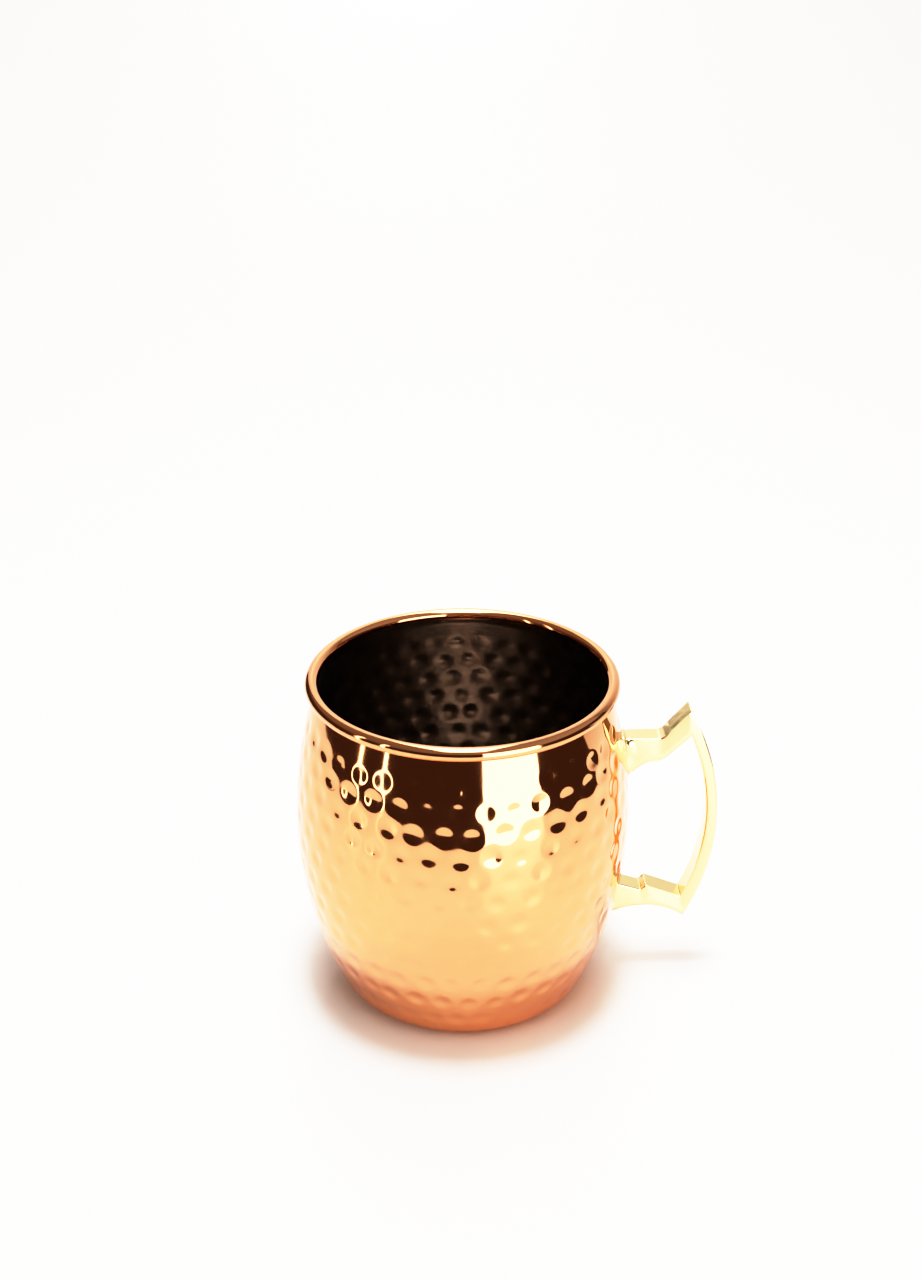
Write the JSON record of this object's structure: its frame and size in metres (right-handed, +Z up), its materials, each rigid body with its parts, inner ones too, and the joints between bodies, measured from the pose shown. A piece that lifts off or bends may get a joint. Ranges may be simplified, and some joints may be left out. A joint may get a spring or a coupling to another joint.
{
  "type": "mug",
  "caption": "Barrel-shaped drinking mug with a hammered copper wall, a rolled rim, a steel lining and a flat cast brass handle with a thumb rest",
  "frame": {"origin": "on the mug's own axis, on the surface that its foot ring stands on", "axes": "+Z up along the mug's axis, +X out through the middle of the handle"},
  "size_m": [0.1242, 0.0976, 0.1],
  "materials": {
    "copper": "polished, hammered",
    "steel": "satin, hammered",
    "brass": "polished",
    "braze": "smooth"
  },
  "bodies": {
    "root": {"copper_shell": "copper", "steel_liner": "steel", "handle": "brass", "upper_braze": "braze", "lower_braze": "braze"}
  },
  "joints": []
}
